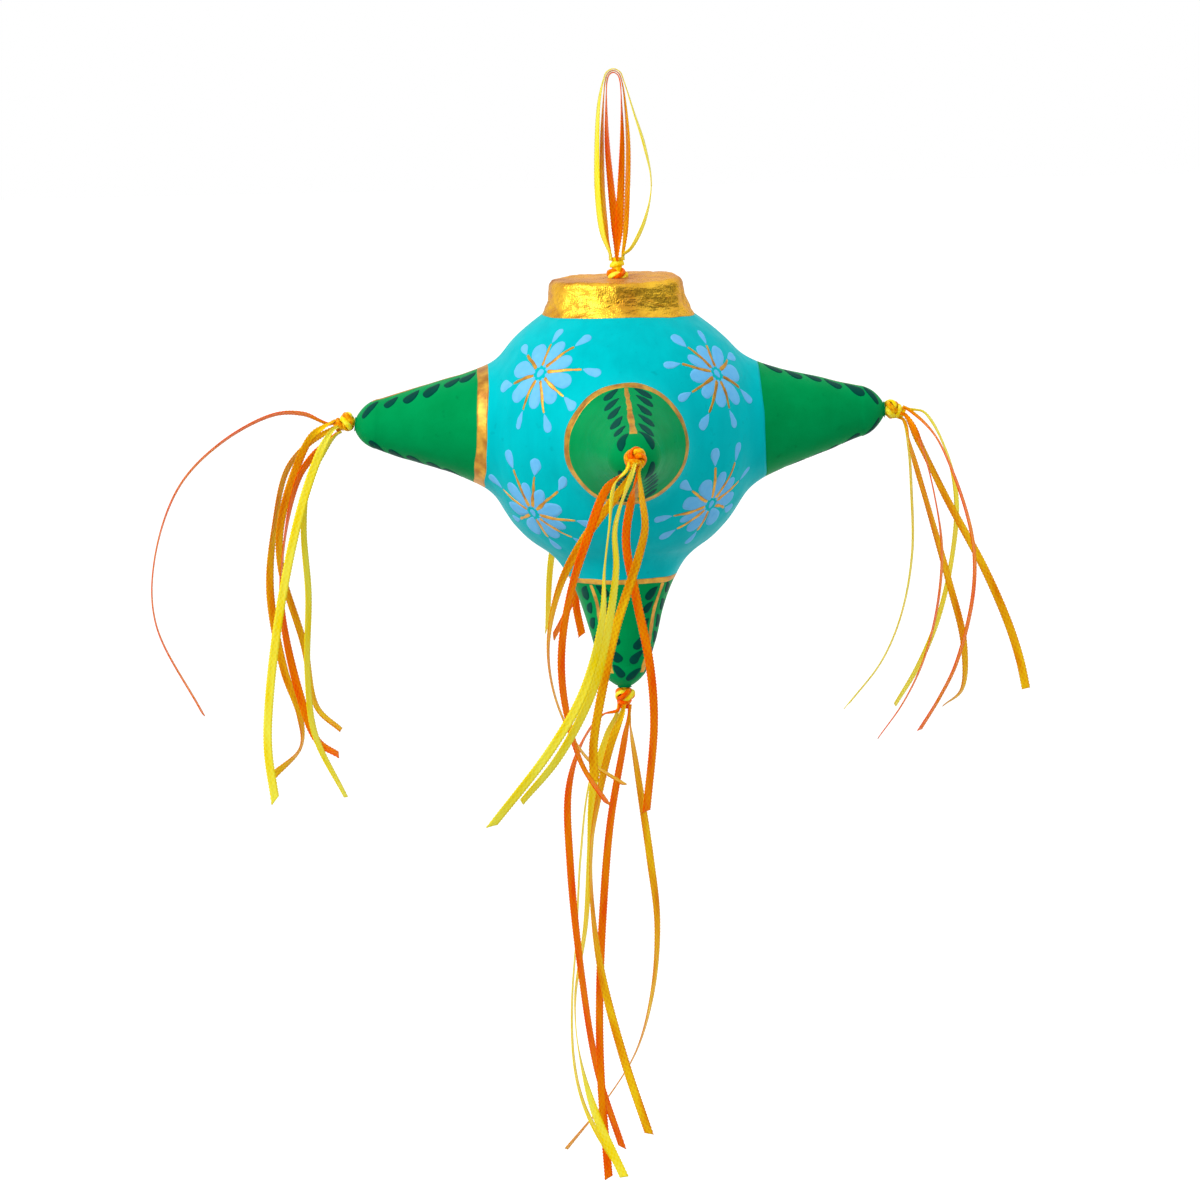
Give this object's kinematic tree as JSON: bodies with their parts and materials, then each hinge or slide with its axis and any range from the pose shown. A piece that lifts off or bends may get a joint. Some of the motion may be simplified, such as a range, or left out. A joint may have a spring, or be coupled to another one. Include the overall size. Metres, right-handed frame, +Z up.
{
  "type": "pinata star ornament",
  "caption": "Hanging star ornament: hollow papier-mache globe with tapered cones on its sides, front, rear and bottom, a gilded neck, a ribbon loop on top and ribbon tassels.",
  "frame": {"origin": "the inside of the hanging loop's top, where the hook holds it", "axes": "+Z up, -Y out of the front cone, +X towards the right cone as the front is seen"},
  "size_m": [0.3006, 0.227, 0.381],
  "materials": {
    "turquoise_paint": "satin turquoise gloss paint over papier-mache",
    "green_paint": "satin green gloss paint over papier-mache",
    "gold_paint": "metallic gold paint over papier-mache",
    "yellow_ribbon": "yellow satin ribbon",
    "gold_ribbon": "gold satin ribbon",
    "orange_ribbon": "orange satin ribbon"
  },
  "bodies": {
    "hanging_loop": {"loop_ribbon_yellow": "yellow_ribbon", "loop_ribbon_gold": "gold_ribbon", "loop_ribbon_orange": "orange_ribbon"},
    "hanger": {"hanger_knot": "yellow_ribbon"},
    "star": {"body_shell": "turquoise_paint", "neck_collar": "gold_paint", "left_cone": "green_paint", "right_cone": "green_paint", "front_cone": "green_paint", "rear_cone": "green_paint", "bottom_cone": "green_paint", "left_tassel_knot": "gold_ribbon", "right_tassel_knot": "gold_ribbon", "front_tassel_knot": "gold_ribbon", "rear_tassel_knot": "gold_ribbon", "bottom_tassel_knot": "gold_ribbon"},
    "left_tassel": {"left_tail_yellow_1": "yellow_ribbon", "left_tail_yellow_2": "yellow_ribbon", "left_tail_gold_1": "gold_ribbon", "left_tail_gold_2": "gold_ribbon", "left_tail_orange_1": "orange_ribbon", "left_tail_orange_2": "orange_ribbon"},
    "right_tassel": {"right_tail_yellow_1": "yellow_ribbon", "right_tail_yellow_2": "yellow_ribbon", "right_tail_gold_1": "gold_ribbon", "right_tail_gold_2": "gold_ribbon", "right_tail_orange_1": "orange_ribbon", "right_tail_orange_2": "orange_ribbon"},
    "front_tassel": {"front_tail_yellow_1": "yellow_ribbon", "front_tail_yellow_2": "yellow_ribbon", "front_tail_gold_1": "gold_ribbon", "front_tail_gold_2": "gold_ribbon", "front_tail_orange_1": "orange_ribbon", "front_tail_orange_2": "orange_ribbon"},
    "rear_tassel": {"rear_tail_yellow_1": "yellow_ribbon", "rear_tail_yellow_2": "yellow_ribbon", "rear_tail_gold_1": "gold_ribbon", "rear_tail_gold_2": "gold_ribbon", "rear_tail_orange_1": "orange_ribbon", "rear_tail_orange_2": "orange_ribbon"},
    "bottom_tassel": {"bottom_tail_yellow_1": "yellow_ribbon", "bottom_tail_yellow_2": "yellow_ribbon", "bottom_tail_gold_1": "gold_ribbon", "bottom_tail_gold_2": "gold_ribbon", "bottom_tail_orange_1": "orange_ribbon", "bottom_tail_orange_2": "orange_ribbon"}
  },
  "joints": [
    {"name": "loop_sway", "type": "hinge", "parent": "hanging_loop", "child": "hanger", "pos_m": [0, 0, -0.06632], "axis": [0, 1, 0], "range_deg": [-40, 40]},
    {"name": "star_turn", "type": "hinge", "parent": "hanger", "child": "star", "pos_m": [0, 0, -0.06632], "axis": [0, 0, 1], "range_deg": [-180, 180]},
    {"name": "left_tassel_swing", "type": "hinge", "parent": "star", "child": "left_tassel", "pos_m": [-0.0933, 0, -0.1159], "axis": [0, 1, 0], "range_deg": [-25, 60]},
    {"name": "right_tassel_swing", "type": "hinge", "parent": "star", "child": "right_tassel", "pos_m": [0.0933, 0, -0.1159], "axis": [0, -1, 0], "range_deg": [-25, 60]},
    {"name": "front_tassel_swing", "type": "hinge", "parent": "star", "child": "front_tassel", "pos_m": [0, -0.0934, -0.121], "axis": [-1, 0, 0], "range_deg": [-25, 60]},
    {"name": "rear_tassel_swing", "type": "hinge", "parent": "star", "child": "rear_tassel", "pos_m": [0, 0.0934, -0.121], "axis": [1, 0, 0], "range_deg": [-25, 60]},
    {"name": "bottom_tassel_swing", "type": "hinge", "parent": "star", "child": "bottom_tassel", "pos_m": [0, 0, -0.2124], "axis": [0, 1, 0], "range_deg": [-35, 35]}
  ]
}
